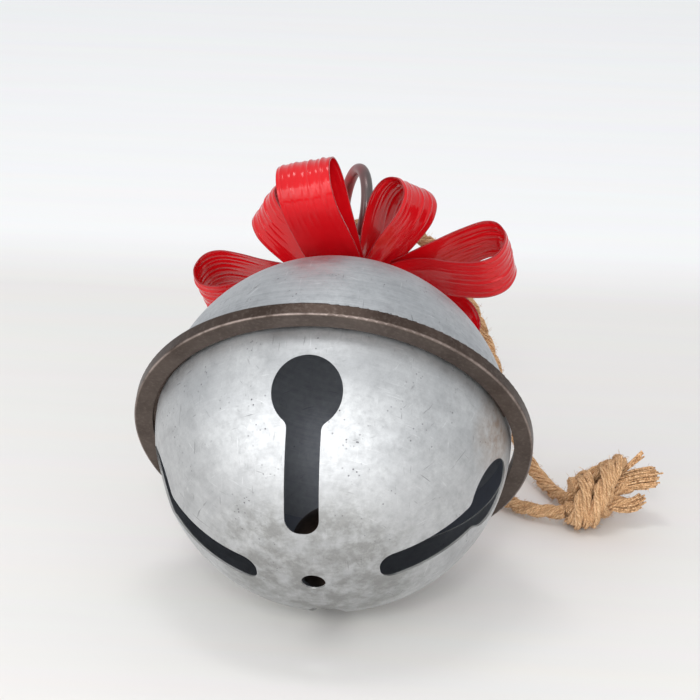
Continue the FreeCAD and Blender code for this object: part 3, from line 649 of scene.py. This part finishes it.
# Each strip: height on the stud, radius of its middle, and its two loops. Each loop: start, raise, azimuth,
# rise, length, bulge, roll, outline, width at the root, and how far along the ribbon opens to its full width.
STRIPS = {
    "bow_strip_low": (90.0, 15.5, [(14.0, 0, -105, 11.8, 71, 14, 5, ROUND, 26, 30),
                                   (14.0, 0, 42, 15, 62, 13, 0, ROUND, 10, 40)]),
    "bow_strip_middle": (90.8, 13.0, [(11.5, 9, -190, 1.6, 72.5, 12, 0, NECKED, 13, 40),
                                      (11.5, 10, -10, 5.7, 71.5, 13.5, 0, NECKED, 13, 40)]),
    "bow_strip_high": (91.6, 10.5, [(9.0, 0, -150, 42.5, 59, 12, 0, ROUND, 15, 30),
                                    (9.0, 0, -54, 41.5, 57, 10.5, 28, ROUND, 14, 30)]),
}
for number, (node, (height, middle, loops)) in enumerate(STRIPS.items()):
    mesh = bmesh.new()
    disc(mesh, height, height + STRIP_SHEET, STUD_HOLE, middle)
    for index, (start, raised, azimuth, rise, length, bulge, roll, outline, root, fan) in enumerate(loops):
        base = loop_base(start, height + STRIP_SHEET / 2 + raised, azimuth, rise, roll)
        ribbon(mesh, base, outline, length, bulge, root, fan, 10 * number + index)
    bmesh.ops.recalc_face_normals(mesh, faces=mesh.faces)
    data = bpy.data.meshes.new(node)
    mesh.to_mesh(data)
    mesh.free()
    data.shade_smooth()
    data.materials.append(ENAMEL)
    bow = bpy.data.objects.new(node.replace("bow_strip", "ribbon"), data)
    scene.collection.objects.link(bow)
    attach(bow, "bell")
    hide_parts(node)
    print(bow.name, len(data.polygons), "faces")

# %% [markdown]
# ## Metal finishes
# Galvanised sheet is dull silver with cloudy patches, fine brush lines and small pits. Patterns are laid out on
# the bell's own axes, because the brushing and the wear follow the bell and not the floor it lies on.

# %% Positions on the bell, for the materials
def bell_vector(tree):
    """The shading point in the bell's own axes."""
    turn = Matrix.Rotation(LEAN, 3, "X")
    return add(tree, "ShaderNodeMapping", {"Vector": add(tree, "ShaderNodeTexCoord").outputs["Object"],
               "Location": -(turn @ centre), "Rotation": (LEAN, 0, 0)}, vector_type="POINT").outputs["Vector"]


def stretched(tree, vector, scale, detail=4.0, roughness=0.6, turn=(0, 0, 0)):
    """Noise drawn out along some axes."""
    moved = add(tree, "ShaderNodeMapping", {"Vector": vector, "Scale": scale, "Rotation": turn},
                vector_type="POINT")
    return add(tree, "ShaderNodeTexNoise", {"Vector": moved, "Scale": 1.0, "Detail": detail,
                                            "Roughness": roughness}).outputs["Fac"]


def blend_colour(tree, amount, first, second, mode="MIX"):
    first = first if isinstance(first, bpy.types.NodeSocket) else (*first, 1)
    second = second if isinstance(second, bpy.types.NodeSocket) else (*second, 1)
    return add(tree, "ShaderNodeMixRGB", {"Fac": amount, "Color1": first, "Color2": second},
               blend_type=mode).outputs[0]


def remap(tree, value, low, high, new_low, new_high):
    return add(tree, "ShaderNodeMapRange", {"Value": value, "From Min": low, "From Max": high, "To Min": new_low,
                                            "To Max": new_high}).outputs["Result"]


# %% Galvanised sheet
# How fast the noise changes along each axis, and how it is turned: one row for each way the scratches run.
SCRATCH_WAYS = [((900, 60, 60), (0.3, 0.5, 0.2)), ((60, 900, 60), (0.9, 0.1, 0.6)),
                ((60, 60, 900), (0.4, 1.1, 0.0))]


def scratches(tree, vector, low, high):
    """Thin lines that run three ways across the sheet, from 0 between them to 1 on them."""
    lines = 0.0
    for scale, turn in SCRATCH_WAYS:
        one = remap(tree, stretched(tree, vector, scale, 2.0, 0.6, turn), low, high, 0, 1)
        lines = calc(tree, "MAXIMUM", lines, one)
    return lines


def cut_edge(tree):
    """1 on the sheet's cut edges, where the surface no longer faces away from the bell's centre."""
    given = add(tree, "ShaderNodeTexCoord")
    outward = add(tree, "ShaderNodeVectorMath", {0: given.outputs["Object"], 1: tuple(centre)},
                  operation="SUBTRACT")
    outward = add(tree, "ShaderNodeVectorMath", {0: outward.outputs[0]}, operation="NORMALIZE")
    facing = add(tree, "ShaderNodeVectorMath", {0: outward.outputs[0], 1: given.outputs["Normal"]},
                 operation="DOT_PRODUCT").outputs["Value"]
    return remap(tree, calc(tree, "ABSOLUTE", facing), 0.45, 0.7, 1, 0)


def galvanised(name, pale, dark, streaks, rust_and_pole_shade):
    """Cloudy zinc with brush lines, scratches and pits, a dark slate inner face as painted shade and pale cut
    edges as painted highlight; the lower shell's also has rust and painted shade darkening its pole.
    """
    material, tree, shader = new_material(name, Metallic=1.0)
    vector = bell_vector(tree)
    radius = add(tree, "ShaderNodeVectorMath", {0: vector}, operation="LENGTH").outputs["Value"]
    clouds = stretched(tree, vector, (28, 28, 40), 6.0, 0.62)
    spangle = stretched(tree, vector, (240, 240, 240), 5.0, 0.7)
    blotches = stretched(tree, vector, (90, 90, 90), 5.0, 0.7)
    brushed = stretched(tree, vector, (18, 18, 900), 4.0, 0.7)
    colour = blend_colour(tree, remap(tree, clouds, 0.35, 0.65, 0, 1), dark, pale)
    colour = blend_colour(tree, remap(tree, spangle, 0.3, 0.7, 0.0, 0.5), colour, [0.72 * c for c in dark])
    colour = blend_colour(tree, remap(tree, blotches, 0.5, 0.66, 0.0, 0.35), colour, [0.62 * c for c in dark])
    colour = blend_colour(tree, remap(tree, brushed, 0.35, 0.7, 0.0, streaks), colour, (0.70, 0.71, 0.72))
    pale_lines = calc(tree, "MULTIPLY", scratches(tree, vector, 0.68, 0.76), 0.35)
    colour = blend_colour(tree, pale_lines, colour, (0.80, 0.81, 0.82))
    other = add(tree, "ShaderNodeVectorMath", {0: vector, 1: (0.31, 0.17, 0.23)}, operation="ADD").outputs[0]
    dark_lines = calc(tree, "MULTIPLY", scratches(tree, other, 0.70, 0.76), 0.7)
    colour = blend_colour(tree, dark_lines, colour, (0.24, 0.24, 0.25))
    pits = add(tree, "ShaderNodeTexVoronoi", {"Vector": vector, "Scale": 420.0, "Randomness": 1.0})
    rare = stretched(tree, vector, (60, 60, 60), 2.0)
    pit = calc(tree, "MULTIPLY", remap(tree, pits.outputs["Distance"], 0.10, 0.24, 1, 0),
               remap(tree, rare, 0.56, 0.66, 0, 1))
    colour = blend_colour(tree, pit, colour, (0.17, 0.17, 0.18))
    if rust_and_pole_shade:
        parts = add(tree, "ShaderNodeSeparateXYZ", {"Vector": vector})
        # painted shade: the sheet is darkened in patches towards the pole
        pole = remap(tree, parts.outputs["Z"], -0.080, -0.068, 0.75, 0.0)
        pole = calc(tree, "MULTIPLY", pole, remap(tree, blotches, 0.38, 0.58, 0.1, 1.0))
        colour = blend_colour(tree, pole, colour, (0.30, 0.30, 0.29))
        rust = add(tree, "ShaderNodeVectorMath", {0: vector, 1: tuple(SHELL * Vector(RUST_PLACE).normalized())},
                   operation="DISTANCE").outputs["Value"]
        rust = calc(tree, "MULTIPLY", remap(tree, rust, 0.006, 0.026, 0.8, 0.0),
                    remap(tree, blotches, 0.35, 0.6, 0.15, 1.0))
        colour = blend_colour(tree, rust, colour, (0.34, 0.25, 0.19))
    # painted shade: the inner face of the sheet, seen through the slots, is coloured dark slate blue for the dim
    # inside of the shell
    inner_face_shade = remap(tree, radius, SHELL - 0.0009, SHELL - 0.0005, 1, 0)     # the sheet's inner face
    edge = cut_edge(tree)
    colour = blend_colour(tree, inner_face_shade, colour, (0.22, 0.24, 0.29))
    # painted highlight: the cut edges are coloured pale grey so they show as a bright thin line
    colour = blend_colour(tree, edge, colour, (0.66, 0.66, 0.65))
    tree.links.new(colour, shader.inputs["Base Color"])
    rough = remap(tree, clouds, 0.3, 0.7, 0.46, 0.60)
    rough = calc(tree, "ADD", rough, remap(tree, spangle, 0.3, 0.7, -0.06, 0.08))
    rough = calc(tree, "ADD", rough, calc(tree, "MULTIPLY", inner_face_shade, 0.15))
    tree.links.new(rough, shader.inputs["Roughness"])
    tree.links.new(remap(tree, inner_face_shade, 0, 1, 1.0, 0.5), shader.inputs["Metallic"])
    height = calc(tree, "ADD", calc(tree, "MULTIPLY", brushed, 0.4), calc(tree, "MULTIPLY", spangle, 0.9))
    height = calc(tree, "SUBTRACT", height, calc(tree, "MULTIPLY", pit, 1.5))
    height = calc(tree, "SUBTRACT", height, calc(tree, "MULTIPLY", dark_lines, 0.8))
    fine = add(tree, "ShaderNodeBump", {"Height": height, "Strength": 0.35, "Distance": 0.0002})
    waves = stretched(tree, vector, (16, 16, 16), 2.5)
    soft = add(tree, "ShaderNodeBump", {"Height": waves, "Strength": 0.45, "Distance": 0.002,
                                        "Normal": fine.outputs["Normal"]})
    tree.links.new(soft.outputs["Normal"], shader.inputs["Normal"])
    return material


def paint(node, material):
    """Give a measured piece its finish."""
    data = nodes[node].data
    if not data.materials:
        data.materials.append(material)
    for index in range(len(data.materials)):
        data.materials[index] = material


RUST_PLACE = (0.93, -0.28, -0.16)      # beside the hoop on the right, as a direction on the bell
paint("lower_shell", galvanised("galvanised_lower", (0.63, 0.64, 0.645), (0.51, 0.52, 0.53), 0.15, True))
paint("upper_shell", galvanised("galvanised_upper", (0.52, 0.535, 0.55), (0.43, 0.445, 0.465), 0.30, False))


# %% Bronzed steel
hoop_points = [BELL.inverted() @ v.co for v in nodes["rim_hoop"].data.vertices]
HOOP_LOW = min(p.z for p in hoop_points)
HOOP_OUTER = max(math.hypot(p.x, p.y) for p in hoop_points)


def bronzed():
    """Dark brown steel; the flat face towards the pole is coloured paler and greyer as painted light, and a pale
    line along that face's outer edge is painted highlight and partly wear.
    """
    material, tree, shader = new_material("bronzed_steel", Metallic=0.85)
    vector = bell_vector(tree)
    parts = add(tree, "ShaderNodeSeparateXYZ", {"Vector": vector})
    flat = add(tree, "ShaderNodeVectorMath", {0: vector, 1: (1, 1, 0)}, operation="MULTIPLY").outputs[0]
    reach = add(tree, "ShaderNodeVectorMath", {0: flat}, operation="LENGTH").outputs["Value"]
    clouds = stretched(tree, vector, (45, 45, 45), 6.0, 0.65)
    fine = stretched(tree, vector, (500, 500, 500), 3.0)
    colour = blend_colour(tree, remap(tree, clouds, 0.3, 0.7, 0, 1), (0.042, 0.027, 0.021), (0.090, 0.064, 0.052))
    # painted light: the flat face towards the pole, turned to the front, gets a paler, greyer copy of the same
    # brown
    face = remap(tree, parts.outputs["Z"], HOOP_LOW + 0.0002, HOOP_LOW + 0.0006, 1, 0)
    pale = blend_colour(tree, remap(tree, clouds, 0.3, 0.7, 0, 1), (0.062, 0.044, 0.036), (0.120, 0.094, 0.080))
    colour = blend_colour(tree, face, colour, pale)
    colour = blend_colour(tree, remap(tree, fine, 0.5, 0.75, 0.0, 0.4), colour, (0.18, 0.145, 0.125))
    # painted highlight, partly wear: a pale line in patches along the outer edge of the flat face
    edge_wear_and_highlight = calc(tree, "MULTIPLY", remap(tree, reach, HOOP_OUTER - 0.0011, HOOP_OUTER - 0.0004, 0, 1),
                remap(tree, parts.outputs["Z"], HOOP_LOW + 0.0004, HOOP_LOW + 0.0012, 1, 0))
    edge_wear_and_highlight = calc(tree, "MULTIPLY", edge_wear_and_highlight, remap(tree, clouds, 0.38, 0.66, 0.05, 0.8))
    colour = blend_colour(tree, edge_wear_and_highlight, colour, (0.52, 0.43, 0.39))
    tree.links.new(colour, shader.inputs["Base Color"])
    tree.links.new(remap(tree, clouds, 0.3, 0.7, 0.34, 0.5), shader.inputs["Roughness"])
    bump = add(tree, "ShaderNodeBump", {"Height": fine, "Strength": 0.25, "Distance": 0.0003})
    tree.links.new(bump.outputs["Normal"], shader.inputs["Normal"])
    return material


BRONZED = bronzed()
for node in ("rim_hoop", "hoop_weld_1", "hoop_weld_2", "hoop_weld_3", "hoop_weld_4"):
    paint(node, BRONZED)


# %% Ring steel with red overspray
def overspray():
    """Dark steel with a mist of red on its left side."""
    material, tree, shader = new_material("ring_steel", Metallic=0.7, Roughness=0.35)
    vector = bell_vector(tree)
    parts = add(tree, "ShaderNodeSeparateXYZ", {"Vector": vector})
    cloud = stretched(tree, vector, (120, 120, 120), 5.0, 0.6)
    left = remap(tree, parts.outputs["X"], 0.004, -0.008, 0, 1)
    amount = calc(tree, "MULTIPLY", left, remap(tree, cloud, 0.25, 0.6, 0.35, 1.0))
    colour = blend_colour(tree, cloud, (0.09, 0.075, 0.075), (0.18, 0.155, 0.15))
    colour = blend_colour(tree, amount, colour, (0.34, 0.035, 0.04))
    tree.links.new(colour, shader.inputs["Base Color"])
    tree.links.new(remap(tree, cloud, 0.3, 0.7, 0.28, 0.45), shader.inputs["Roughness"])
    return material


OVERSPRAY = overspray()
paint("hanging_ring", OVERSPRAY)
paint("eye_stud", OVERSPRAY)


# %% Zinc fasteners and the ball
def plain_metal(name, pale, dark, roughness):
    """Bare metal with soft cloudy patches between two tones."""
    material, tree, shader = new_material(name, Metallic=1.0)
    vector = bell_vector(tree)
    cloud = stretched(tree, vector, (150, 150, 150), 5.0, 0.65)
    tree.links.new(blend_colour(tree, remap(tree, cloud, 0.3, 0.7, 0, 1), dark, pale), shader.inputs["Base Color"])
    tree.links.new(remap(tree, cloud, 0.3, 0.7, roughness - 0.08, roughness + 0.1), shader.inputs["Roughness"])
    bump = add(tree, "ShaderNodeBump", {"Height": cloud, "Strength": 0.15, "Distance": 0.0003})
    tree.links.new(bump.outputs["Normal"], shader.inputs["Normal"])
    return material


ZINC = plain_metal("zinc_fastener", (0.55, 0.55, 0.55), (0.38, 0.38, 0.38), 0.35)
for node in ("crown_washer", "inner_washer", "hex_nut"):
    paint(node, ZINC)
paint("jingle_ball", plain_metal("ball_steel", (0.16, 0.115, 0.09), (0.07, 0.05, 0.04), 0.42))
